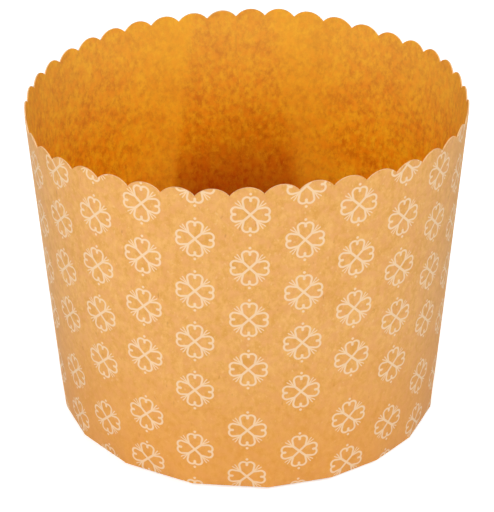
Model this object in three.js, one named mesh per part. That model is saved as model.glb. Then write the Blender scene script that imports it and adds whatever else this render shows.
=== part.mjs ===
// Panettone mold: a tapered paper cup with a scalloped rim.
//
// The wall is one sheet rolled into a cone and glued where its ends lap. Its lower edge is
// creased inwards in short straight facets, and each corner of the crease gathers the spare
// paper into a flat pleat under the base. A round disc is glued on the turned-in skirt.
//
// Millimetres, z up, origin on the axis at the lowest point, front of the cup towards -y.

import * as THREE from 'three';
import { ParametricGeometry } from 'three/addons/geometries/ParametricGeometry.js';
import { mergeVertices } from 'three/addons/utils/BufferGeometryUtils.js';

// Overall size of the cup
const RIM_DIAMETER = 134;
const BASE_DIAMETER = 121.8;
const WALL_HEIGHT = 101.4;

// Sheet and disc
const PAPER = 0.4;
const DISC_PAPER = 0.6;
const DISC_CLEARANCE = 0.3;

// Scalloped rim: round tops that meet in sharp valleys
const SCALLOPS = 42;
const SCALLOP_DEPTH = 2.35;
const SHOULDER_DROP = 2.4;
const FIRST_VALLEY = degrees(7.96);

// Glued lap: the inner end of the sheet shows inside the cup at SEAM_AZIMUTH
const SEAM_AZIMUTH = degrees(106.5);
const LAP_WIDTH = 15;
const LAP_EDGE_RUN = 0.3;

// Crease at the base and the skirt turned in under the disc
const FACETS = 19;
const FIRST_CORNER = degrees(-164);
const CORNER_WANDER = degrees(3.8);
const WANDER_PERIODS = 3;
const WANDER_PEAK = degrees(-80);
const CREASE_FADE = 14;
const SKIRT_WIDTH = 14;
const PLEAT_START = 2;
const PLEAT_EDGE_RUN = 0.4;
const PLEAT_COLUMNS = 4;

// How far the light sheet stands out of true: [turns per round, cosine part, sine part]
const RIM_HEIGHT_WAVES = [[1, 0.5, 1.56], [2, -0.97, -0.93], [5, 0.08, 0.32], [7, -0.38, 0.06]];
const RIM_RADIUS_WAVES = [[2, 1.15, 0.58], [3, -0.56, -0.19], [4, -0.72, -0.06]];
const BASE_RADIUS_WAVES = [[1, -0.54, -0.02], [2, -0.2, -0.24]];

// Fineness of the mesh
const COLUMNS_PER_SCALLOP = 6;
const DISC_SEGMENTS = 36;

// Colours of the brown greaseproof paper
const WALL_COLOUR = 0xe2a65a;
const DISC_COLOUR = 0xcf8a3c;

const FULL_TURN = 2 * Math.PI;
const PITCH = FULL_TURN / SCALLOPS;
const CREASE_LEVEL = PAPER;
const SKIRT_TOP = 2 * PAPER;

function degrees(angle) {
  return angle * Math.PI / 180;
}

function mix(a, b, share) {
  return a + (b - a) * share;
}

function wrap(value, period) {
  return value - period * Math.floor(value / period);
}

// Sum of waves around the cup, in millimetres.
function waves(terms, azimuth) {
  let sum = 0;
  for (const [turns, cosine, sine] of terms) {
    sum += cosine * Math.cos(turns * azimuth) + sine * Math.sin(turns * azimuth);
  }
  return sum;
}

function rimRadius(azimuth) {
  return RIM_DIAMETER / 2 + waves(RIM_RADIUS_WAVES, azimuth);
}

function baseRadius(azimuth) {
  return BASE_DIAMETER / 2 + waves(BASE_RADIUS_WAVES, azimuth);
}

// Places around the wall are counted in scallops from the first valley.
function rimAzimuth(place) {
  return FIRST_VALLEY + place * PITCH;
}

function placeOf(azimuth) {
  return (azimuth - FIRST_VALLEY) / PITCH;
}

// Height of the line through the valleys.
function valleyHeight(place) {
  return CREASE_LEVEL + WALL_HEIGHT + waves(RIM_HEIGHT_WAVES, rimAzimuth(place));
}

// A scallop is the arc of a circle over one pitch of the rim.
function scallopRise(place) {
  const width = PITCH * RIM_DIAMETER / 2;
  const radius = (width * width / 4 + SCALLOP_DEPTH * SCALLOP_DEPTH) / (2 * SCALLOP_DEPTH);
  const across = (wrap(place, 1) - 0.5) * width;
  return Math.sqrt(radius * radius - across * across) - radius + SCALLOP_DEPTH;
}

// The lap runs from the outer end of the sheet to its inner end.
const LAP_END = placeOf(SEAM_AZIMUTH);
const LAP_START = LAP_END - LAP_WIDTH / (PITCH * RIM_DIAMETER / 2);
const LAP_RUN = LAP_EDGE_RUN / (PITCH * RIM_DIAMETER / 2);

function insideLap(place) {
  const past = wrap(place - LAP_START + LAP_RUN / 2, SCALLOPS);
  return past < LAP_END - LAP_START + LAP_RUN;
}

// The sheet spirals out by its own thickness on its way round, so that its outer end
// comes to lie on its inner end. Returns how far each face stands out there.
function sheetOffsets(place) {
  if (insideLap(place)) {
    return { outer: PAPER, inner: -PAPER };
  }
  const single = SCALLOPS - (LAP_END - LAP_START);
  const share = wrap(LAP_START - place, SCALLOPS) / single;
  return { outer: PAPER * share, inner: PAPER * share - PAPER };
}

// Corner of the crease: where it lies, and the mesh column that runs to it.
function corner(index) {
  const even = FIRST_CORNER + index * FULL_TURN / FACETS;
  const wander = CORNER_WANDER * Math.cos(WANDER_PERIODS * (even - WANDER_PEAK));
  const place = Math.round(placeOf(even) * COLUMNS_PER_SCALLOP) / COLUMNS_PER_SCALLOP;
  return { place, azimuth: even + wander };
}

// The facet of the crease that a place belongs to.
function facet(place) {
  const first = placeOf(FIRST_CORNER);
  let index = Math.floor((place - first) * FACETS / SCALLOPS) + 1;
  while (corner(index).place > place) {
    index -= 1;
  }
  const start = corner(index);
  const end = corner(index + 1);
  return { start, end, share: (place - start.place) / (end.place - start.place) };
}

function creaseAzimuth(place) {
  const { start, end, share } = facet(place);
  return mix(start.azimuth, end.azimuth, share);
}

// Straight crease between two corners, as long as the arc that it replaces.
function creaseRadius(place) {
  const { start, end, share } = facet(place);
  const half = (end.azimuth - start.azimuth) / 2;
  const round = baseRadius(mix(start.azimuth, end.azimuth, share));
  return round * half / Math.tan(half) / Math.cos(half * (2 * share - 1));
}

// Point of one face of the wall at a height over the crease.
function wallPoint(place, rise, offset, level) {
  const share = rise / WALL_HEIGHT;
  const azimuth = mix(creaseAzimuth(place), rimAzimuth(place), Math.min(share, 1));
  const fade = Math.max(1 - rise / CREASE_FADE, 0) ** 2;
  const facetDent = fade * (creaseRadius(place) - baseRadius(creaseAzimuth(place)));
  const radius = mix(baseRadius(azimuth), rimRadius(azimuth), share) + facetDent + offset;
  return polar(radius, azimuth, level);
}

function polar(radius, azimuth, z) {
  return new THREE.Vector3(radius * Math.cos(azimuth), radius * Math.sin(azimuth), z);
}

// A pleat gathers the length by which the skirt's edge is shorter than the crease.
const PLEAT_WIDTH = FULL_TURN * SKIRT_WIDTH / FACETS;

// Azimuth on the underside: the pleat widens from its corner of the crease towards the
// skirt's edge, and its two edges are one narrow column each.
function skirtAzimuth(place, depth) {
  const { start, end } = facet(place);
  const radius = BASE_DIAMETER / 2 - depth;
  const pleat = PLEAT_WIDTH * depth / SKIRT_WIDTH / radius;
  const run = PLEAT_EDGE_RUN / radius;
  const column = (place - start.place) * COLUMNS_PER_SCALLOP;
  const last = Math.round((end.place - start.place) * COLUMNS_PER_SCALLOP) - 1;
  if (column <= PLEAT_COLUMNS) {
    return start.azimuth + pleat * column / PLEAT_COLUMNS;
  }
  if (column <= PLEAT_COLUMNS + 1) {
    return start.azimuth + pleat + run * (column - PLEAT_COLUMNS);
  }
  if (column >= last) {
    return end.azimuth - run * (last + 1 - column);
  }
  const share = (column - PLEAT_COLUMNS - 1) / (last - PLEAT_COLUMNS - 1);
  return mix(start.azimuth + pleat + run, end.azimuth - run, share);
}

function onPleat(place) {
  const { start } = facet(place);
  return (place - start.place) * COLUMNS_PER_SCALLOP < PLEAT_COLUMNS + 0.5;
}

function skirtPoint(place, depth, z) {
  const radius = BASE_DIAMETER / 2 - depth;
  return polar(radius, skirtAzimuth(place, depth), z);
}

// Closed section through the sheet: up the outer face, over the rim, down the inner face,
// in along the skirt's top, and out again along its underside.
function section(place) {
  const { outer, inner } = sheetOffsets(place);
  const valley = valleyHeight(place) - CREASE_LEVEL;
  const edge = valley + scallopRise(place);
  const rises = [CREASE_FADE / 3, CREASE_FADE, valley / 2, valley - SHOULDER_DROP, edge];
  const under = onPleat(place) ? 0 : CREASE_LEVEL;
  const outside = rises.map((rise) => wallPoint(place, rise, outer, CREASE_LEVEL + rise));
  const inside = rises.map((rise) => wallPoint(place, rise, inner, CREASE_LEVEL + rise));
  return [
    wallPoint(place, 0, 0, CREASE_LEVEL),
    ...outside,
    ...inside.reverse(),
    wallPoint(place, 0, -PAPER, SKIRT_TOP),
    skirtPoint(place, SKIRT_WIDTH, SKIRT_TOP),
    skirtPoint(place, SKIRT_WIDTH, under),
    skirtPoint(place, PLEAT_START, under),
  ];
}

// Mesh columns: even steps along the scallops, and two close ones at each end of the lap.
function columnPlaces() {
  const lapEdges = [LAP_START - LAP_RUN, LAP_START, LAP_END, LAP_END + LAP_RUN];
  const crowded = 0.4 / COLUMNS_PER_SCALLOP;
  const places = [];
  for (let step = 0; step < SCALLOPS * COLUMNS_PER_SCALLOP; step += 1) {
    const place = step / COLUMNS_PER_SCALLOP;
    const nearest = Math.min(...lapEdges.map((edge) => Math.abs(edge - place)));
    if (nearest > crowded) {
      places.push(place);
    }
  }
  return [...places, ...lapEdges].sort((a, b) => a - b);
}

// One closed skin, swept round the axis and joined to itself.
function sideWallGeometry() {
  const sections = columnPlaces().map(section);
  const columns = sections.length;
  const rows = sections[0].length;
  const surface = (u, v, target) => {
    const column = Math.round(u * columns) % columns;
    const row = Math.round(v * rows) % rows;
    target.copy(sections[column][row]);
  };
  const skin = new ParametricGeometry(surface, columns, rows);
  skin.deleteAttribute('normal');
  skin.deleteAttribute('uv');
  const closed = mergeVertices(skin);
  closed.computeVertexNormals();
  return closed;
}

// The disc clears the narrowest flat of the crease all round.
function discRadius() {
  let least = Infinity;
  for (let step = 0; step < SCALLOPS * COLUMNS_PER_SCALLOP; step += 1) {
    least = Math.min(least, creaseRadius(step / COLUMNS_PER_SCALLOP));
  }
  return least - PAPER - DISC_CLEARANCE;
}

function baseDiscGeometry() {
  const outline = new THREE.Shape();
  outline.absarc(0, 0, discRadius(), 0, FULL_TURN, false);
  return new THREE.ExtrudeGeometry(outline, {
    depth: DISC_PAPER,
    bevelEnabled: false,
    curveSegments: DISC_SEGMENTS,
  });
}

function namedMesh(name, geometry, color, roughness) {
  const material = new THREE.MeshStandardMaterial({ color, roughness, metalness: 0 });
  const mesh = new THREE.Mesh(geometry, material);
  mesh.name = name;
  return mesh;
}

const sideWall = namedMesh('side_wall', sideWallGeometry(), WALL_COLOUR, 0.8);
const baseDisc = namedMesh('base_disc', baseDiscGeometry(), DISC_COLOUR, 0.75);
baseDisc.position.z = SKIRT_TOP;

const mold = new THREE.Group();
mold.add(sideWall, baseDisc);

// The rim is not quite round, so the cup is centred on its outline.
const outlineCentre = new THREE.Box3().setFromObject(mold).getCenter(new THREE.Vector3());
mold.position.set(-outlineCentre.x, -outlineCentre.y, 0);

export default mold;
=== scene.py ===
# %% [markdown]
# # A paper panettone mold
# The mold is a tall baking cup made of one sheet of brown greaseproof paper, rolled into a
# slight cone, glued where its ends lap, and turned in under a round disc at the base. The
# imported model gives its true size. Here the same sheet is worked out again with a finer grid,
# so that it can carry a printed pattern, paper fibres and a cleanly cut scalloped rim.

# %% Load the frame
import math

import bpy
import numpy as np
from mathutils import Matrix, Vector


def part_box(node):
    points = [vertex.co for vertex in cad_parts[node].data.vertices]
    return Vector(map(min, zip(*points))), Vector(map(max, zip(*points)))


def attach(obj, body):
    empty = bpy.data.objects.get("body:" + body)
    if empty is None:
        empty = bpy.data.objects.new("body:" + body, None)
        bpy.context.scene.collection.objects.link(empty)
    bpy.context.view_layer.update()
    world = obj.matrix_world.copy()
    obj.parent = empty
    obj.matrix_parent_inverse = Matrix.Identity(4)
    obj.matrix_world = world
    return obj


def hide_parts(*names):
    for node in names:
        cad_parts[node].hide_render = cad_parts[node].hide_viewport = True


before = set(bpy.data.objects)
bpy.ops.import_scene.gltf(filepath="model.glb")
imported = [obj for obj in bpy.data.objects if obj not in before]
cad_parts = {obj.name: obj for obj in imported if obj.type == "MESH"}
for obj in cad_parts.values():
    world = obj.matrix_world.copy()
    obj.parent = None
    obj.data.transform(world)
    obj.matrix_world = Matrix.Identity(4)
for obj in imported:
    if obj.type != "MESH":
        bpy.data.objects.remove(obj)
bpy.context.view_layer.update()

# %% [markdown]
# ## Sizes of the cup
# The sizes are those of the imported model, in millimetres. The sheet is light, so its rim is
# neither quite flat nor quite round: each list holds waves around the cup, given as turns per
# round, cosine part and sine part. The cup is centred on its outline, so its axis lies a
# little off the origin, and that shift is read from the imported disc, which is round.

# %% Sizes
MM = 0.001
RIM_DIAMETER = 134.0
BASE_DIAMETER = 121.8
WALL_HEIGHT = 101.4
PAPER = 0.4
DISC_PAPER = 0.6

SCALLOPS = 42
SCALLOP_DEPTH = 2.35
FIRST_VALLEY = math.radians(7.96)

SEAM_AZIMUTH = math.radians(106.5)
LAP_WIDTH = 15.0
LAP_INSIDE_RUN = 1.0
LAP_OUTSIDE_RUN = 0.12

FACETS = 19
FIRST_CORNER = math.radians(-164)
CORNER_WANDER = math.radians(3.8)
WANDER_PERIODS = 3
WANDER_PEAK = math.radians(-80)
CREASE_FADE = 14.0
SKIRT_WIDTH = 14.0
PLEAT_EDGE_RUN = 0.25

RIM_HEIGHT_WAVES = [(1, 0.5, 1.56), (2, -0.97, -0.93), (5, 0.08, 0.32), (7, -0.38, 0.06)]
RIM_RADIUS_WAVES = [(2, 1.15, 0.58), (3, -0.56, -0.19), (4, -0.72, -0.06)]
BASE_RADIUS_WAVES = [(1, -0.54, -0.02), (2, -0.2, -0.24)]

TURN = 2 * math.pi
PITCH = TURN / SCALLOPS
CREASE_LEVEL = PAPER
SKIRT_TOP = 2 * PAPER
SCALLOP_WIDTH = PITCH * RIM_DIAMETER / 2

disc_low, disc_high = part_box("base_disc")
axis_x = (disc_low.x + disc_high.x) / 2
axis_y = (disc_low.y + disc_high.y) / 2
disc_radius = (disc_high.x - disc_low.x) / 2 / MM
print("axis at", axis_x, axis_y, "disc radius", disc_radius, "mm")

# %% [markdown]
# ## Camera
# The photograph looks down into the cup from the front, at about 28 degrees, through a long
# lens that keeps the tapered sides nearly straight. The camera is aimed at the middle of the
# cup and rolled by a fraction of a degree.

# %% Camera
CAMERA_ELEVATION = math.radians(27.98)
CAMERA_DISTANCE = 0.5826
CAMERA_ROLL = math.radians(-0.247)
CAMERA_LENS, SENSOR_WIDTH = 127.92, 36
NEAR_CLIP = 0.01
AIM = Vector((axis_x - 0.00077, axis_y, 0.04749))

sine, cosine = math.sin(CAMERA_ELEVATION), math.cos(CAMERA_ELEVATION)
forward = Vector((0, cosine, -sine))
level_right = Vector((1, 0, 0))
level_up = Vector((0, sine, cosine))
right = level_right * math.cos(CAMERA_ROLL) + level_up * math.sin(CAMERA_ROLL)
up = level_up * math.cos(CAMERA_ROLL) - level_right * math.sin(CAMERA_ROLL)

camera_data = bpy.data.cameras.new("camera")
camera_data.lens = CAMERA_LENS
camera_data.sensor_width = SENSOR_WIDTH
camera_data.clip_start = NEAR_CLIP
camera = bpy.data.objects.new("camera", camera_data)
bpy.context.scene.collection.objects.link(camera)
camera.matrix_world = Matrix.Translation(AIM - forward * CAMERA_DISTANCE) @ Matrix(
    (right, up, -forward)
).transposed().to_4x4()
bpy.context.scene.camera = camera
print("camera at", tuple(round(c, 4) for c in camera.location))

# %% [markdown]
# ## The shape of the rolled sheet
# Places around the wall are counted in scallops from the first valley of the rim. A few plain
# functions give the sheet's radius and height there. They could have been a revolved profile,
# but a revolve knows nothing of the lap, the scallops or the facets of the crease, so each
# point is worked out from its place and its height instead.

# %% Outline of the rim and the base


def waves(terms, azimuth):
    """Sum over the terms of cosine part * cos(n a) + sine part * sin(n a)."""
    return sum(c * np.cos(n * azimuth) + s * np.sin(n * azimuth) for n, c, s in terms)


def rim_radius(azimuth):
    """Half the rim diameter plus its waves."""
    return RIM_DIAMETER / 2 + waves(RIM_RADIUS_WAVES, azimuth)


def base_radius(azimuth):
    """Half the base diameter plus its waves."""
    return BASE_DIAMETER / 2 + waves(BASE_RADIUS_WAVES, azimuth)


def rim_azimuth(place):
    """Place in scallops times the pitch, from the first valley."""
    return FIRST_VALLEY + place * PITCH


def valley_rise(place):
    """Height of the valley line over the crease: wall height plus its waves."""
    return WALL_HEIGHT + waves(RIM_HEIGHT_WAVES, rim_azimuth(place))


def scallop_rise(place):
    """Arc of a circle over one pitch: sqrt(r^2 - x^2) - r + depth, x across the scallop."""
    radius = (SCALLOP_WIDTH ** 2 / 4 + SCALLOP_DEPTH ** 2) / (2 * SCALLOP_DEPTH)
    across = (np.mod(place, 1) - 0.5) * SCALLOP_WIDTH
    return np.sqrt(radius ** 2 - across ** 2) - radius + SCALLOP_DEPTH


print("scallop pitch", round(SCALLOP_WIDTH, 2), "mm")

# %% [markdown]
# The crease at the base runs straight from corner to corner, because a stiff sheet folds in
# short flats. The corners wander a little, as hand-set folds do. The facets fade out over the
# lowest part of the wall, and above that the sheet is a smooth cone.

# %% Facets of the crease
COLUMNS_PER_SCALLOP = 16
ROUNDING = 1e-9

corner_steps = np.arange(-FACETS, 3 * FACETS)
corner_even = FIRST_CORNER + corner_steps * TURN / FACETS
corner_azimuth = corner_even + CORNER_WANDER * np.cos(
    WANDER_PERIODS * (corner_even - WANDER_PEAK)
)
corner_place = (corner_even - FIRST_VALLEY) / PITCH
corner_place = np.round(corner_place * COLUMNS_PER_SCALLOP) / COLUMNS_PER_SCALLOP


def facet(place):
    """Start and end azimuth of the facet that holds each place, and the share along it."""
    index = np.searchsorted(corner_place, place + ROUNDING, side="right") - 1
    start, end = corner_place[index], corner_place[index + 1]
    share = (place - start) / (end - start)
    return corner_azimuth[index], corner_azimuth[index + 1], share


def crease_azimuth(place):
    """Straight mix between the azimuths of the facet's two corners."""
    start, end, share = facet(place)
    return start + (end - start) * share


def crease_radius(place):
    """Chord between two corners: r h / tan(h) / cos(h (2 s - 1)), h half the facet."""
    start, end, share = facet(place)
    half = (end - start) / 2
    return base_radius(crease_azimuth(place)) * half / np.tan(half) / np.cos(
        half * (2 * share - 1)
    )


facet_widths = np.degrees(np.diff(corner_azimuth[:FACETS + 1]))
print("facets from", facet_widths.min().round(1), "to", facet_widths.max().round(1), "degrees")

# %% [markdown]
# The sheet spirals outwards by its own thickness on its way round, so its outer end comes to
# lie on its inner end. Over the lap the wall is double. That leaves a sharp step outside, at
# the outer end, and a softer one inside, at the inner end. An even column that would fall
# very close to the inner end is left out.

# %% Lap of the sheet
LAP_END = (SEAM_AZIMUTH - FIRST_VALLEY) / PITCH
LAP_START = LAP_END - LAP_WIDTH / SCALLOP_WIDTH
INSIDE_RUN = LAP_INSIDE_RUN / SCALLOP_WIDTH
OUTSIDE_RUN = LAP_OUTSIDE_RUN / SCALLOP_WIDTH
LEAST_GAP = 0.4 / COLUMNS_PER_SCALLOP


def wall_columns():
    """Places of the mesh columns, from the outer end of the sheet once round the cup."""
    even = np.arange(math.ceil(LAP_START * COLUMNS_PER_SCALLOP) + 1,
                     math.floor((LAP_START + SCALLOPS) * COLUMNS_PER_SCALLOP))
    even = even / COLUMNS_PER_SCALLOP
    even = even[np.abs(even - LAP_END) > LEAST_GAP]
    edges = [LAP_START, LAP_END, LAP_START + SCALLOPS - OUTSIDE_RUN]
    return np.sort(np.concatenate([even, edges]))


places = wall_columns()
in_lap = np.clip((LAP_END + INSIDE_RUN - places) / INSIDE_RUN, 0, 1)
left_to_go = np.minimum((LAP_START + SCALLOPS - places) / (SCALLOPS - LAP_END + LAP_START), 1)
outer_offset = PAPER * left_to_go
inner_offset = PAPER * (left_to_go * (1 - in_lap) - 1)
print(len(places), "columns,", int((in_lap == 1).sum()), "of them over the lap")

# %% [markdown]
# ## The wall as one closed skin
# The section through the sheet is a closed loop: up the outer face, over the cut edge, down
# the inner face, in along the turned-in skirt and out again under it. Carried round the axis
# on a grid of places and rows, it closes on itself in both directions, so the mesh has no
# seam to weld and no open edge.

# %% Points of the wall
CREASE_ROUND = 0.5


def polar(radius, azimuth, height):
    """Radius, azimuth and height as x, y, z."""
    height = np.broadcast_to(height, radius.shape)
    return np.stack([radius * np.cos(azimuth), radius * np.sin(azimuth), height], -1)


def wall_points(place, rise, offset):
    """Point of the cone: radius mixes base and rim by the share of the height, plus the
    facets' dent, which fades with the square of the distance from the crease."""
    share = rise / WALL_HEIGHT
    azimuth = crease_azimuth(place) + (
        rim_azimuth(place) - crease_azimuth(place)
    ) * np.minimum(share, 1)
    fade = np.maximum(1 - rise / CREASE_FADE, 0) ** 2
    dent = fade * (crease_radius(place) - base_radius(crease_azimuth(place)))
    radius = base_radius(azimuth) * (1 - share) + rim_radius(azimuth) * share
    return polar(radius + dent + offset, azimuth, CREASE_LEVEL + rise), azimuth


# %% [markdown]
# The turned-in skirt has more paper than room, so it doubles into a pleat at each corner of
# the crease. A pleat takes a fixed share of its facet's columns, and its far edge a few more.

# %% Points of the skirt
PLEAT_SHARE = 0.3
EDGE_SHARE = 0.03


def skirt_azimuth(place, depth):
    """A pleat starts at each corner and widens with depth; its two edges are steep steps."""
    start, end, share = facet(place)
    radius = BASE_DIAMETER / 2 - depth
    pleat = TURN * depth / FACETS / radius
    run = PLEAT_EDGE_RUN / radius
    known = np.stack([start, start + pleat, start + pleat + run, end - run, end])
    knots = [0, PLEAT_SHARE, PLEAT_SHARE + EDGE_SHARE, 1 - EDGE_SHARE, 1]
    azimuth = np.zeros_like(place)
    for step in range(4):
        inside = (share >= knots[step]) & (share <= knots[step + 1])
        part = (share - knots[step]) / (knots[step + 1] - knots[step])
        azimuth = np.where(inside, known[step] * (1 - part) + known[step + 1] * part, azimuth)
    return azimuth


def on_pleat(place):
    """True from each corner of the crease to the far edge of its pleat."""
    share = facet(place)[2]
    return share <= PLEAT_SHARE + EDGE_SHARE / 2


def skirt_points(place, depth, height):
    """Point of the skirt at a depth in from the crease."""
    radius = np.full_like(place, BASE_DIAMETER / 2 - depth)
    return polar(radius, skirt_azimuth(place, depth), height)


print(int(on_pleat(places).sum()), "columns on pleats")

# %% [markdown]
# The rows lie close together near the crease and in the scallops, and evenly between. Besides
# its points, each row keeps its azimuth and how far down the flat sheet it lies, which the
# print needs later, and whether it belongs to the outside, the cut edge or the inside.

# %% Rows of the section
OUTER, EDGE, INNER = 0, 1, 2
SKIRT_ROWS = (SKIRT_WIDTH, 10.0, 6.0, 2.0)
CREASE_ROWS = (0.3, 0.8, 1.6, 2.8, 4.4, 6.4, 8.8, 11.4, CREASE_FADE)
WALL_ROWS = 25
SCALLOP_ROWS = (0.4, 0.75, 1)
SHOULDER = 4.0
LIFT_RISE = 2.0

valley = valley_rise(places)
edge = valley + scallop_rise(places)
under = np.where(on_pleat(places), 0.0, CREASE_LEVEL)
shoulder = valley - SHOULDER
rises = [np.full_like(places, rise) for rise in CREASE_ROWS]
rises += [CREASE_FADE + (shoulder - CREASE_FADE) * share
          for share in np.linspace(0, 1, WALL_ROWS + 1)[1:]]
rises += [shoulder + (edge - shoulder) * share for share in SCALLOP_ROWS]

rows, azimuths, depths, faces = [], [], [], []


def add_row(points, azimuth, depth, finish):
    """Keeps one row of points, its azimuth and depth on the flat sheet, and its finish."""
    rows.append(points)
    azimuths.append(azimuth)
    depths.append(np.broadcast_to(depth, places.shape))
    faces.append(finish)


for depth in SKIRT_ROWS:
    add_row(skirt_points(places, depth, under), crease_azimuth(places),
            WALL_HEIGHT + depth, OUTER)
add_row(*wall_points(places, 0, -CREASE_ROUND), WALL_HEIGHT + CREASE_ROUND, OUTER)
for rise in rises:
    add_row(*wall_points(places, rise, outer_offset * np.minimum(rise / LIFT_RISE, 1)),
            WALL_HEIGHT - rise, OUTER)
faces[-1] = EDGE
for rise in rises[::-1]:
    add_row(*wall_points(places, rise, inner_offset), WALL_HEIGHT - rise, INNER)
add_row(*wall_points(places, PAPER, inner_offset), WALL_HEIGHT, INNER)
add_row(skirt_points(places, SKIRT_WIDTH, SKIRT_TOP), crease_azimuth(places),
        WALL_HEIGHT + SKIRT_WIDTH, EDGE)

grid = np.stack(rows)
flat_depth = np.stack(depths)
print("grid of", grid.shape[0], "rows by", grid.shape[1], "columns")

# %% [markdown]
# The printed pattern was laid on the flat sheet before it was rolled. A cone unrolls into a
# sector of a ring, so each point's place on the flat sheet follows from its azimuth and its
# slant distance below the rim. Those flat millimetres are kept with the mesh as an attribute.

# %% Flat coordinates of the sheet
SHEET_CURVE = 0.0574
taper = (RIM_DIAMETER - BASE_DIAMETER) / 2
slant_share = math.hypot(taper, WALL_HEIGHT) / WALL_HEIGHT
slant_to_tip = RIM_DIAMETER / 2 / SHEET_CURVE


def flat_sheet(azimuth, depth):
    """Sector of a ring: angle = azimuth * curve of the sheet, distance = tip - slant."""
    angle = (azimuth + math.pi / 2) * SHEET_CURVE
    distance = slant_to_tip - depth * slant_share
    return np.stack([distance * np.sin(angle), slant_to_tip - distance * np.cos(angle),
                     np.zeros_like(angle)], -1)


sheet_mm = flat_sheet(np.stack(azimuths) - TURN, flat_depth)
print("flat sheet spans", np.ptp(sheet_mm[..., 0]).round(), "by",
      np.ptp(sheet_mm[..., 1]).round(), "mm")

# %% Build the wall
SHARP = math.radians(40)


def closed_grid_mesh(name, points, finishes, attributes):
    """Quads (i, j), (i, j+1), (i+1, j+1), (i+1, j) of a grid that closes both ways."""
    count_rows, count_columns = points.shape[:2]
    index = np.arange(count_rows * count_columns).reshape(count_rows, count_columns)
    beside, above = np.roll(index, -1, 1), np.roll(index, -1, 0)
    quads = np.stack([index, beside, np.roll(above, -1, 1), above], -1).reshape(-1, 4)
    mesh = bpy.data.meshes.new(name)
    mesh.from_pydata((points.reshape(-1, 3) * MM).tolist(), [], quads.tolist())
    mesh.polygons.foreach_set("material_index", np.repeat(finishes, count_columns))
    for title, values in attributes.items():
        attribute = mesh.attributes.new(title, "FLOAT_VECTOR", "POINT")
        attribute.data.foreach_set("vector", values.reshape(-1).astype(np.float32))
    mesh.update()
    made = bpy.data.objects.new(name, mesh)
    bpy.context.scene.collection.objects.link(made)
    return made


finishes = np.array(faces)
wall_shift = np.array([axis_x, axis_y, 0]) / MM
wall = closed_grid_mesh("rolled_wall", grid + wall_shift, finishes, {"sheet_mm": sheet_mm})
wall.data.shade_smooth()
wall.data.set_sharp_from_angle(angle=SHARP)
print("wall has", len(wall.data.polygons) * 2, "triangles")

# %% [markdown]
# ## The base disc
# A round disc of board lies on the skirt and closes the cup. It is a profile turned about the
# axis: up its cut edge with a small rounding, then in across the top to a single middle point,
# and the same below.

# %% Build the disc
DISC_ROUND = 0.12
DISC_COLUMNS = 252


def disc_mesh(name, radius, low, high):
    """Profile (distance, height) carried round the axis: x = d cos a, y = d sin a, z = h."""
    inner = radius - DISC_ROUND
    profile = [(radius / 2, low), (inner, low), (radius, low + DISC_ROUND),
               (radius, high - DISC_ROUND), (inner, high)]
    profile += [(radius * share, high) for share in (0.75, 0.5, 0.25)]
    azimuth = np.arange(DISC_COLUMNS) * TURN / DISC_COLUMNS
    distance = np.array(profile)[:, 0, None] + 0 * azimuth
    height = np.array(profile)[:, 1, None] + 0 * azimuth
    points = polar(distance, azimuth[None] + 0 * distance, height).reshape(-1, 3)
    index = np.arange(len(points)).reshape(len(profile), DISC_COLUMNS)
    beside = np.roll(index, -1, 1)
    quads = np.stack([index[:-1], beside[:-1], beside[1:], index[1:]], -1).reshape(-1, 4)
    low_middle, high_middle = len(points), len(points) + 1
    points = np.vstack([points, [[0, 0, low], [0, 0, high]]])
    fans = [(low_middle, b, a) for a, b in zip(index[0].tolist(), beside[0].tolist())]
    fans += [(high_middle, a, b) for a, b in zip(index[-1].tolist(), beside[-1].tolist())]
    mesh = bpy.data.meshes.new(name)
    mesh.from_pydata(((points + wall_shift) * MM).tolist(), [], quads.tolist() + fans)
    made = bpy.data.objects.new(name, mesh)
    bpy.context.scene.collection.objects.link(made)
    return made


disc = disc_mesh("board_disc", disc_radius, SKIRT_TOP, SKIRT_TOP + DISC_PAPER)
disc.data.shade_smooth()
disc.data.set_sharp_from_angle(angle=SHARP)
print("disc has", len(disc.data.polygons), "faces")

# %% [markdown]
# ## Node helpers
# The finishes need a good deal of arithmetic. A small class writes it as Math nodes, so that a
# pattern can be read as a formula. Groups get named sockets, and each material keeps its own
# Principled shader.

# %% Arithmetic in nodes


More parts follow.
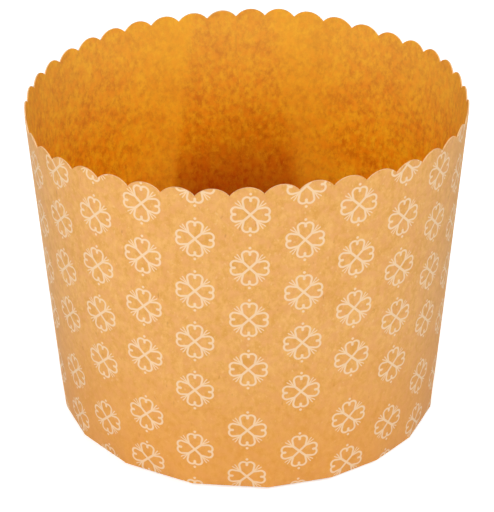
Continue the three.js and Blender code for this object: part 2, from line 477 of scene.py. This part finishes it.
class Arithmetic:
    """Adds nodes to a tree; a call gives the output sockets of the node that it adds."""

    def __init__(self, tree):
        self.tree = tree

    def node(self, kind, **settings):
        """A node of a kind with its settings; the one call that gives the node itself."""
        made = self.tree.nodes.new(kind)
        for key, value in settings.items():
            setattr(made, key, value)
        return made

    def put(self, value, socket):
        """Sets a number or a colour on a socket, or links another node's output to it."""
        if isinstance(value, (int, float, tuple)):
            socket.default_value = value
        else:
            self.tree.links.new(value, socket)

    def math(self, operation, *values):
        """One Math node on its values."""
        made = self.node("ShaderNodeMath", operation=operation)
        for value, socket in zip(values, made.inputs):
            self.put(value, socket)
        return made.outputs[0]

    def split(self, vector):
        """The three parts of a vector."""
        made = self.node("ShaderNodeSeparateXYZ")
        self.put(vector, made.inputs[0])
        return made.outputs[0], made.outputs[1], made.outputs[2]

    def join(self, x, y, z):
        """A vector of three parts."""
        made = self.node("ShaderNodeCombineXYZ")
        for value, socket in zip((x, y, z), made.inputs):
            self.put(value, socket)
        return made.outputs[0]

    def fade(self, value, low, high, to_low=0.0, to_high=1.0):
        """Smooth step of a value from low to high: 3 t^2 - 2 t^3 between two results."""
        made = self.node("ShaderNodeMapRange", interpolation_type="SMOOTHSTEP")
        for number, socket in zip((value, low, high, to_low, to_high), made.inputs):
            self.put(number, socket)
        return made.outputs[0]

    def noise(self, vector, scale, detail, roughness):
        """Noise around 0.5; scale is in waves for each unit of the vector."""
        made = self.node("ShaderNodeTexNoise")
        self.put(vector, made.inputs["Vector"])
        made.inputs["Scale"].default_value = scale
        made.inputs["Detail"].default_value = detail
        made.inputs["Roughness"].default_value = roughness
        return made.outputs["Fac"]

    def mix(self, share, first, second):
        """Two colours mixed by the share of the second."""
        made = self.node("ShaderNodeMix", data_type="RGBA")
        self.put(share, made.inputs["Factor"])
        self.put(first, made.inputs["A"])
        self.put(second, made.inputs["B"])
        return made.outputs["Result"]


def new_group(name, inputs, outputs):
    """Empty node group with named sockets; gives its tree, input node and output node."""
    tree = bpy.data.node_groups.new(name, "ShaderNodeTree")
    for title, kind, value in inputs:
        socket = tree.interface.new_socket(title, in_out="INPUT", socket_type=kind)
        if value is not None:
            socket.default_value = value
    for title, kind in outputs:
        tree.interface.new_socket(title, in_out="OUTPUT", socket_type=kind)
    return tree, tree.nodes.new("NodeGroupInput"), tree.nodes.new("NodeGroupOutput")


def colour(code):
    """Colour code of six hex digits as linear red, green, blue, alpha."""
    parts = [int(code[i:i + 2], 16) / 255 for i in (0, 2, 4)]
    linear = [p / 12.92 if p <= 0.04045 else ((p + 0.055) / 1.055) ** 2.4 for p in parts]
    return tuple(linear) + (1.0,)


print("helpers ready")

# %% [markdown]
# ## Paper fibres
# Brown greaseproof paper is a felt of short fibres. Close up it is mottled in soft clouds
# about a centimetre across and in a finer felt that is drawn out a little along the sheet's
# height, with a sprinkle of pale specks and a few short brown flecks. The group gives a mottle
# value around 0.5, a hue value, masks of specks and flecks, and a height for bump.

# %% Group: paper fibres
CLOUD_SCALE, CLOUD_SHARE = 0.1, 0.28
FELT_SCALE, FELT_SHARE, FELT_STRETCH = 0.5, 0.72, 0.7
HUE_SCALE, HUE_LAYER = 0.3, 40.0
SPECK_SCALE, SPECK_START, SPECK_FULL = 0.9, 0.62, 0.78
FLECK_SCALE, FLECK_START, FLECK_FULL = 0.8, 0.7, 0.8
FLECK_STRETCH, FLECK_LAYER = 0.4, 15.0


def build_fibre_group():
    """Mottle is a weighted sum of two noises; the masks are the peaks of two more."""
    tree, given, result = new_group(
        "paper fibres",
        [("Sheet", "NodeSocketVector", None)],
        [("Mottle", "NodeSocketFloat"), ("Hue", "NodeSocketFloat"),
         ("Specks", "NodeSocketFloat"), ("Flecks", "NodeSocketFloat"),
         ("Height", "NodeSocketFloat")],
    )
    sums = Arithmetic(tree)
    sheet = given.outputs["Sheet"]
    x, y, z = sums.split(sheet)
    drawn = sums.join(x, sums.math("MULTIPLY", y, FELT_STRETCH), z)
    drawn_far = sums.join(x, sums.math("MULTIPLY", y, FLECK_STRETCH), FLECK_LAYER)
    clouds = sums.noise(sheet, CLOUD_SCALE, detail=2.0, roughness=0.5)
    felt = sums.noise(drawn, FELT_SCALE, detail=5.0, roughness=0.72)
    mottle = sums.math("MULTIPLY_ADD", clouds, CLOUD_SHARE,
                       sums.math("MULTIPLY", felt, FELT_SHARE))
    hue = sums.noise(sums.join(y, x, HUE_LAYER), HUE_SCALE, detail=3.0, roughness=0.65)
    grain = sums.noise(drawn, SPECK_SCALE, detail=1.0, roughness=0.5)
    husks = sums.noise(drawn_far, FLECK_SCALE, detail=1.0, roughness=0.5)
    tree.links.new(mottle, result.inputs["Mottle"])
    tree.links.new(hue, result.inputs["Hue"])
    tree.links.new(sums.fade(grain, SPECK_START, SPECK_FULL), result.inputs["Specks"])
    tree.links.new(sums.fade(husks, FLECK_START, FLECK_FULL), result.inputs["Flecks"])
    tree.links.new(felt, result.inputs["Height"])
    return tree


fibre_group = build_fibre_group()
print("paper fibres:", len(fibre_group.nodes), "nodes")

# %% [markdown]
# ## The printed clover
# The pattern is a plain four-leaf ornament in staggered rows: four heart-shaped outlines with
# their tips together, a small drop in each notch, a dot above and below, and fine strokes
# between the leaves. Folding the plane along its axes and diagonals turns the four hearts
# into one half heart. Its line runs up the diagonal to the crotch, on along a steeper side,
# and over a round lobe into the notch, so its distance formula needs only one turned pair of
# coordinates. Each shape gives its distance less half its width, and there is ink wherever
# the least of them is under zero. The sizes are in millimetres.

# %% Group: clover motif
CROTCH = 1.85
LOBE_X, LOBE_Y, LOBE_RADIUS = 1.0, 4.2, 1.28
LINE_HALF = 0.32
TIP_HALF = 0.368
DROP_LOW, DROP_HIGH, DROP_HALF = 4.4, 4.9, 0.42
DOT_PLACE, DOT_HALF = 6.5, 0.42
STROKE_START, STROKE_END, STROKE_SPREAD, STROKE_HALF = 3.0, 5.6, 0.48, 0.17
INK_SOFTNESS = 0.12
HALF_ROOT = math.sqrt(0.5)


def distance_between(sums, ax, ay, bx, by):
    """Length of (ax - bx, ay - by)."""
    dx, dy = sums.math("SUBTRACT", ax, bx), sums.math("SUBTRACT", ay, by)
    return sums.math("SQRT", sums.math("MULTIPLY_ADD", dx, dx, sums.math("MULTIPLY", dy, dy)))


def segment_distance(sums, x, y, low, high):
    """Distance to the piece of the y axis from low to high."""
    nearest = sums.math("MINIMUM", sums.math("MAXIMUM", y, low), high)
    return distance_between(sums, x, y, 0.0, nearest)


def side_direction():
    """Line from the crotch that touches the lobe: turned from the line to the lobe's middle
    by the angle whose sine is radius over distance."""
    to_lobe = math.atan2(LOBE_Y - CROTCH, LOBE_X - CROTCH)
    reach = math.hypot(LOBE_X - CROTCH, LOBE_Y - CROTCH)
    angle = to_lobe - math.asin(LOBE_RADIUS / reach)
    return math.cos(angle), math.sin(angle)


def heart_distance(sums, x, y):
    """With u along the side and v across it, measured from the lobe's middle, the distance is
    |sqrt(max(u, 0)^2 + v^2) - radius|: a circle above and its touching line below."""
    along_x, along_y = side_direction()
    dx, dy = sums.math("SUBTRACT", x, LOBE_X), sums.math("SUBTRACT", y, LOBE_Y)
    u = sums.math("MULTIPLY_ADD", dx, along_x, sums.math("MULTIPLY", dy, along_y))
    v = sums.math("MULTIPLY_ADD", dx, along_y, sums.math("MULTIPLY", dy, -along_x))
    reach = distance_between(sums, sums.math("MAXIMUM", u, 0.0), v, 0.0, 0.0)
    return sums.math("ABSOLUTE", sums.math("SUBTRACT", reach, LOBE_RADIUS))


def build_clover_group():
    """Ink is 1 where the least distance to a shape is under 0, with a soft edge."""
    tree, given, result = new_group(
        "clover motif",
        [("Across", "NodeSocketFloat", 0.0), ("Along", "NodeSocketFloat", 0.0)],
        [("Ink", "NodeSocketFloat")],
    )
    sums = Arithmetic(tree)
    far_x = sums.math("ABSOLUTE", given.outputs["Across"])
    far_y = sums.math("ABSOLUTE", given.outputs["Along"])
    low, high = sums.math("MINIMUM", far_x, far_y), sums.math("MAXIMUM", far_x, far_y)
    along = sums.math("MULTIPLY", sums.math("ADD", low, high), HALF_ROOT)
    aside = sums.math("MULTIPLY", sums.math("SUBTRACT", high, low), HALF_ROOT)
    leaf = sums.math("SUBTRACT", heart_distance(sums, low, high), LINE_HALF)
    tip = sums.math("SUBTRACT", segment_distance(
        sums, aside, along, 0.0, CROTCH / HALF_ROOT), TIP_HALF)
    drop = sums.math("SUBTRACT", segment_distance(sums, low, high, DROP_LOW, DROP_HIGH),
                     DROP_HALF)
    dot = sums.math("SUBTRACT", distance_between(sums, far_x, far_y, 0.0, DOT_PLACE), DOT_HALF)
    spread = sums.math("SUBTRACT", aside, sums.fade(
        along, STROKE_START, STROKE_END, 0.0, STROKE_SPREAD))
    stroke = sums.math("SUBTRACT", segment_distance(
        sums, spread, along, STROKE_START, STROKE_END), STROKE_HALF)
    shape = leaf
    for part in (tip, drop, dot, stroke):
        shape = sums.math("MINIMUM", shape, part)
    tree.links.new(sums.fade(shape, INK_SOFTNESS, -INK_SOFTNESS), result.inputs["Ink"])
    return tree


clover_group = build_clover_group()
print("clover motif:", len(clover_group.nodes), "nodes")

# %% [markdown]
# The motifs stand in columns on the flat sheet, every second column half a step lower. The
# printing roll is not a whole number of steps round, so after every sixth row there is a
# slightly wider gap. The columns lean and the rows climb by almost a degree, because the
# sheet was cut a little askew.

# %% Group: printed pattern
COLUMN_PITCH = 15.87
ROW_PITCH = 17.15
ROLL_JOINT = 4.5
ROWS_PER_ROLL = 6
COLUMN_START = 0.34
COLUMN_LEAN = -0.0153
ROW_SLOPE = 0.0136
EVEN_FIRST_ROW = -27.35
ODD_FIRST_ROW = -18.65


def build_print_group():
    """Place within a motif = place on the sheet, less the nearest column and row."""
    tree, given, result = new_group(
        "printed clovers", [("Sheet", "NodeSocketVector", None)],
        [("Ink", "NodeSocketFloat")])
    sums = Arithmetic(tree)
    x, y, z = sums.split(given.outputs["Sheet"])
    x = sums.math("SUBTRACT", sums.math("MULTIPLY_ADD", y, -COLUMN_LEAN, x), COLUMN_START)
    y = sums.math("MULTIPLY_ADD", x, -ROW_SLOPE, y)
    column = sums.math("ROUND", sums.math("DIVIDE", x, COLUMN_PITCH))
    across = sums.math("MULTIPLY_ADD", column, -COLUMN_PITCH, x)
    odd = sums.math("FLOORED_MODULO", column, 2.0)
    first = sums.math("MULTIPLY_ADD", odd, ODD_FIRST_ROW - EVEN_FIRST_ROW,
                      EVEN_FIRST_ROW - ROW_PITCH / 2)
    roll = ROWS_PER_ROLL * ROW_PITCH + ROLL_JOINT
    fallen = sums.math("FLOORED_MODULO", sums.math("SUBTRACT", y, first), roll)
    row = sums.math("FLOOR", sums.math("DIVIDE", fallen, ROW_PITCH))
    row = sums.math("MINIMUM", row, ROWS_PER_ROLL - 1.0)
    along = sums.math("SUBTRACT", sums.math("MULTIPLY_ADD", row, -ROW_PITCH, fallen),
                      ROW_PITCH / 2)
    motif = sums.node("ShaderNodeGroup", node_tree=clover_group)
    tree.links.new(across, motif.inputs["Across"])
    tree.links.new(along, motif.inputs["Along"])
    tree.links.new(motif.outputs["Ink"], result.inputs["Ink"])
    return tree


print_group = build_print_group()
print("printed clovers: step", COLUMN_PITCH, "by", ROW_PITCH, "mm")

# %% [markdown]
# ## Materials
# Every finish of the paper starts from the same mixture of shades. They are given as colour
# codes: the dark and the pale of the mottle, a warm one, and those of the specks and flecks.
# What is special to a finish goes over that mixture.

# %% Kraft material
MOTTLE_START, MOTTLE_FULL = 0.36, 0.64
HUE_START, HUE_FULL, HUE_SHARE = 0.42, 0.64, 0.6
SPECK_SHARE, FLECK_SHARE = 0.4, 0.35
FELT_RELIEF = 0.4 * MM
ROUGH_SWING = 0.2


def paper_material(name, shades, rough, bump, specular=0.12, tone_and_shading_by_height=None, flat=True, over=None):
    """Fibre mottle mixes a dark and a pale shade, a slower share of a warm one goes over them,
    then specks and flecks, then the tone and shading by height: a shade that comes in between
    two heights, partly paper tone and partly painted light and shade. The pattern lies on the
    flat sheet, or else in the piece, both in millimetres."""
    material = bpy.data.materials.new(name)
    material.use_nodes = True
    tree = material.node_tree
    sums = Arithmetic(tree)
    shader = tree.nodes["Principled BSDF"]
    mapping = sums.node("ShaderNodeMapping")
    mapping.inputs["Scale"].default_value = (1 / MM, 1 / MM, 1 / MM)
    tree.links.new(sums.node("ShaderNodeTexCoord").outputs["Object"], mapping.inputs["Vector"])
    spot = sheet = mapping.outputs["Vector"]
    if flat:
        sheet = sums.node("ShaderNodeAttribute", attribute_name="sheet_mm").outputs["Vector"]
    fibres = sums.node("ShaderNodeGroup", node_tree=fibre_group)
    tree.links.new(sheet, fibres.inputs["Sheet"])
    dark, pale, warm, speck, fleck = [colour(shade) for shade in shades]
    mottle, hue = fibres.outputs["Mottle"], fibres.outputs["Hue"]
    tint = sums.mix(sums.fade(mottle, MOTTLE_START, MOTTLE_FULL), dark, pale)
    tint = sums.mix(sums.fade(hue, HUE_START, HUE_FULL, 0.0, HUE_SHARE), tint, warm)
    tint = sums.mix(sums.math("MULTIPLY", fibres.outputs["Specks"], SPECK_SHARE), tint, speck)
    tint = sums.mix(sums.math("MULTIPLY", fibres.outputs["Flecks"], FLECK_SHARE), tint, fleck)
    # Partly paper tone and partly painted light and shade that changes with height.
    if tone_and_shading_by_height:
        shade, start, end, share = tone_and_shading_by_height
        height = sums.split(spot)[2]
        tint = sums.mix(sums.fade(height, start, end, 0.0, share), tint, colour(shade))
    if over:
        tint = over(sums, spot, sheet, tint)
    tree.links.new(tint, shader.inputs["Base Color"])
    roughness = sums.math("MULTIPLY_ADD", mottle, ROUGH_SWING, rough - ROUGH_SWING / 2)
    tree.links.new(roughness, shader.inputs["Roughness"])
    shader.inputs["Specular IOR Level"].default_value = specular
    relief = sums.node("ShaderNodeBump")
    relief.inputs["Strength"].default_value = bump
    relief.inputs["Distance"].default_value = FELT_RELIEF
    tree.links.new(fibres.outputs["Height"], relief.inputs["Height"])
    tree.links.new(relief.outputs["Normal"], shader.inputs["Normal"])
    return material


print("kraft material ready")

# %% [markdown]
# The outside is dry kraft with the pale print over it. The inside is the greaseproof face,
# painted a deeper orange than the outside: a painted glow of light bounced inside the cup and
# shining through the sheet.
# There a painted shadow makes the wall duller along the lap and darkest low down, and a painted
# glow makes the paper on both sides of that band brighter. Its two edges slant a little.

# %% Print and painted lap shadow and glow
INK, INK_COVER = "FFDDB4", 0.9

BAND_LEFT, LEFT_SLOPE, LEFT_SOFTNESS = -30.7, 0.12, 1.8
BAND_RIGHT, RIGHT_SLOPE, RIGHT_SOFTNESS = 23.6, -0.14, 4.0
BAND_MIDDLE = -4.0
# Painted shadow: its colour, the heights where it starts and where it is fullest, and its least
# and most share.
PAINTED_SHADOW, PAINTED_SHADOW_TOP, PAINTED_SHADOW_FULL = "AB1900", 67.0, 34.0
PAINTED_SHADOW_LEAST, PAINTED_SHADOW_MOST = 0.05, 0.6
# Below this height the painted shadow grows weaker again towards the base.
SHADOW_FOOT_HEIGHT, SHADOW_FOOT_SHARE = 38.0, 0.5
# Painted glow beside the band: its colour, its reach from the middle, and its share.
PAINTED_GLOW, PAINTED_GLOW_END, PAINTED_GLOW_FULL, PAINTED_GLOW_SHARE = "FFC030", 44.0, 20.0, 0.33


def printed(sums, spot, sheet, tint):
    """Ink over the tint wherever the printed pattern has it."""
    pattern = sums.node("ShaderNodeGroup", node_tree=print_group)
    sums.put(sheet, pattern.inputs["Sheet"])
    cover = sums.math("MULTIPLY", pattern.outputs["Ink"], INK_COVER)
    return sums.mix(cover, tint, colour(INK))


def painted_lap_shadow_and_glow(sums, spot, sheet, tint):
    """Painted shadow in a band on the back half between the edges x = start + slope * height.
    The painted glow beside it fades with the distance from its middle, and the painted shadow
    in it fades with the height."""
    x, y, height = sums.split(spot)
    left = sums.math("MULTIPLY_ADD", height, LEFT_SLOPE, BAND_LEFT)
    right = sums.math("MULTIPLY_ADD", height, RIGHT_SLOPE, BAND_RIGHT)
    from_left = sums.fade(sums.math("SUBTRACT", x, left), -LEFT_SOFTNESS, LEFT_SOFTNESS)
    from_right = sums.fade(sums.math("SUBTRACT", right, x), -RIGHT_SOFTNESS, RIGHT_SOFTNESS)
    at_back = sums.math("GREATER_THAN", y, 0.0)
    band = sums.math("MULTIPLY", sums.math("MULTIPLY", from_left, from_right), at_back)
    beside = sums.math("SUBTRACT", at_back, band)
    from_middle = sums.math("ABSOLUTE", sums.math("SUBTRACT", x, BAND_MIDDLE))
    nearness = sums.fade(from_middle, PAINTED_GLOW_END, PAINTED_GLOW_FULL, 0.0, PAINTED_GLOW_SHARE)
    # Painted glow: a brighter, yellower tint on the paper beside the band.
    tint = sums.mix(sums.math("MULTIPLY", beside, nearness), tint, colour(PAINTED_GLOW))
    # Painted shadow: a dark red-brown in the band, strongest low down.
    depth = sums.fade(height, PAINTED_SHADOW_TOP, PAINTED_SHADOW_FULL, PAINTED_SHADOW_LEAST, PAINTED_SHADOW_MOST)
    foot = sums.fade(height, 0.0, SHADOW_FOOT_HEIGHT, SHADOW_FOOT_SHARE, 1.0)
    shade = sums.math("MULTIPLY", band, sums.math("MULTIPLY", depth, foot))
    return sums.mix(shade, tint, colour(PAINTED_SHADOW))


print("ink covers", INK_COVER, "of the paper")

# %% [markdown]
# The outside grows a little warmer towards the base, partly paper tone and partly painted
# shade. The inside grows paler towards the rim, partly paper tone and partly painted light
# shining through the thin sheet. The cut edge is painted paler than the faces, a painted
# highlight along the rim.
# The disc is plainer board, and its pattern lies in the piece, since no sheet was rolled.

# %% Finishes of the pieces
outside = paper_material(
    "printed kraft", ("E9A650", "F9BD6E", "F3AE6E", "FFD290", "C27A38"), rough=0.85, bump=0.12,
    # Outside: warmer towards the base, partly paper tone and partly painted shade.
    tone_and_shading_by_height=("F09E3C", 60, 0, 0.55), over=printed)
kraft_shader = outside.node_tree.nodes["Principled BSDF"]
kraft_shader.inputs["Sheen Weight"].default_value = 0.15
kraft_shader.inputs["Sheen Roughness"].default_value = 0.5
# The inside's shades are a deeper orange than the outside's. This is painted light, for the
# light bounced inside the cup and shining through the sheet.
inside = paper_material(
    "greaseproof face", ("DC7B04", "FFBF1C", "FA9A0C", "FFC838", "C46400"), rough=0.8,
    # Inside: paler towards the rim, partly paper tone and partly painted light shining through
    # the thin sheet.
    bump=0.12, specular=0.06, tone_and_shading_by_height=("FFD46C", 60, 105, 0.33), over=painted_lap_shadow_and_glow)
# The cut edge's paler shades are a painted highlight along the rim.
cut_edge = paper_material(
    "cut paper edge", ("F0BC7C", "FFD098", "FAC890", "FFE0B4", "E0A868"), rough=0.9, bump=0.1)
board = paper_material(
    "kraft board", ("C47A28", "DE9A44", "D08834", "F0BC70", "8C5018"), rough=0.8, bump=0.2,
    flat=False)
for finish in (outside, cut_edge, inside):
    wall.data.materials.append(finish)
disc.data.materials.append(board)
print("materials:", [finish.name for finish in (outside, cut_edge, inside, board)])

# %% [markdown]
# ## Join the pieces to the frame
# The cup has no moving parts, so both pieces ride on the one body. Each stands for the packed
# node of the same piece.

# %% Ride and replace
for piece, node in ((wall, "side_wall"), (disc, "base_disc")):
    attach(piece, "root")
    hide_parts(node)
print("pieces joined to the frame")

# %% [markdown]
# ## Floor, light and background
# The photograph has a white background, so the floor shows white to the camera but still
# takes the cup's shadow. To the light it is grey, so that it doesn't brighten the cup much.
# Its own glow grows with the distance, where the lamps no longer reach.

# %% Floor
WHITE, FLOOR_GREY = (1, 1, 1, 1), (0.6, 0.6, 0.6, 1)
FLOOR_SIZE, FLOOR_DROP = 6, 0.2 * MM
GLOW_NEAR, GLOW_FAR = 0.5, 1.0
NEAR_REACH, FAR_REACH = 0.5, 1.2


def seen_share(sums):
    """1 for what the camera sees directly, in a gloss or through glass, 0 for light."""
    path = sums.node("ShaderNodeLightPath")
    share = sums.math("MAXIMUM", path.outputs["Is Camera Ray"], path.outputs["Is Glossy Ray"])
    return sums.math("MAXIMUM", share, path.outputs["Is Transmission Ray"])


def floor_material():
    """Diffuse; glow = seen * smooth step of sqrt(x^2 + y^2)."""
    material = bpy.data.materials.new("pale floor")
    material.use_nodes = True
    tree = material.node_tree
    sums = Arithmetic(tree)
    shader = tree.nodes["Principled BSDF"]
    shader.inputs["Roughness"].default_value = 0.9
    shader.inputs["Specular IOR Level"].default_value = 0.1
    seen = seen_share(sums)
    tree.links.new(sums.mix(seen, FLOOR_GREY, WHITE), shader.inputs["Base Color"])
    x, y, z = sums.split(sums.node("ShaderNodeTexCoord").outputs["Object"])
    reach = sums.math("SQRT", sums.math("MULTIPLY_ADD", x, x, sums.math("MULTIPLY", y, y)))
    glow = sums.math("MULTIPLY", seen,
                     sums.fade(reach, NEAR_REACH, FAR_REACH, GLOW_NEAR, GLOW_FAR))
    shader.inputs["Emission Color"].default_value = WHITE
    tree.links.new(glow, shader.inputs["Emission Strength"])
    return material


bpy.ops.mesh.primitive_plane_add(size=FLOOR_SIZE, location=(0, 0, -FLOOR_DROP))
floor = bpy.context.object
floor.name = "floor"
floor.data.materials.append(floor_material())
print("floor", FLOOR_SIZE, "m wide")

# %% [markdown]
# Two soft lamps stand in front, one above the other, and a little to the left. One at each
# side lights the tapered flanks and the inside, and two small ones behind keep the back from
# going dark. The world adds a faint even light and shows white to the camera.

# %% Lamps and world
LAMP_DISTANCE = 1.1
LAMP_AIM = Vector((0, 0, 0.05))
LAMPS = [
    ("front lamp", -10, 20, 0.6, 4.5),
    ("high front lamp", -10, 38, 0.2, 2.1),
    ("left lamp", -73, 38, 0.35, 2.65),
    ("right lamp", 77, 38, 0.3, 4.2),
    ("back left lamp", -150, 50, 0.2, 1.5),
    ("back right lamp", 150, 50, 0.2, 1.5),
]
WORLD_LIGHT = 0.1


def softbox(name, turn, rise, size, power):
    """Square area lamp aimed at the cup, at a turn to the right of the front and a rise over
    the floor, both in degrees: d (sin t cos r, -cos t cos r, sin r)."""
    turn, rise = math.radians(turn), math.radians(rise)
    data = bpy.data.lights.new(name, "AREA")
    data.size = size
    data.energy = power
    lamp = bpy.data.objects.new(name, data)
    bpy.context.scene.collection.objects.link(lamp)
    lamp.location = LAMP_DISTANCE * Vector((
        math.sin(turn) * math.cos(rise), -math.cos(turn) * math.cos(rise), math.sin(rise)))
    lamp.rotation_euler = (LAMP_AIM - lamp.location).to_track_quat("-Z", "Y").to_euler()


for lamp_row in LAMPS:
    softbox(*lamp_row)

world = bpy.data.worlds.new("studio")
bpy.context.scene.world = world
world.use_nodes = True
world_sums = Arithmetic(world.node_tree)
backdrop = world.node_tree.nodes["Background"]
backdrop.inputs["Color"].default_value = WHITE
world.node_tree.links.new(
    world_sums.fade(seen_share(world_sums), 0.0, 1.0, WORLD_LIGHT, 1.0),
    backdrop.inputs["Strength"])
bpy.context.scene.view_settings.view_transform = "Standard"
print(len(LAMPS), "lamps and the world set")
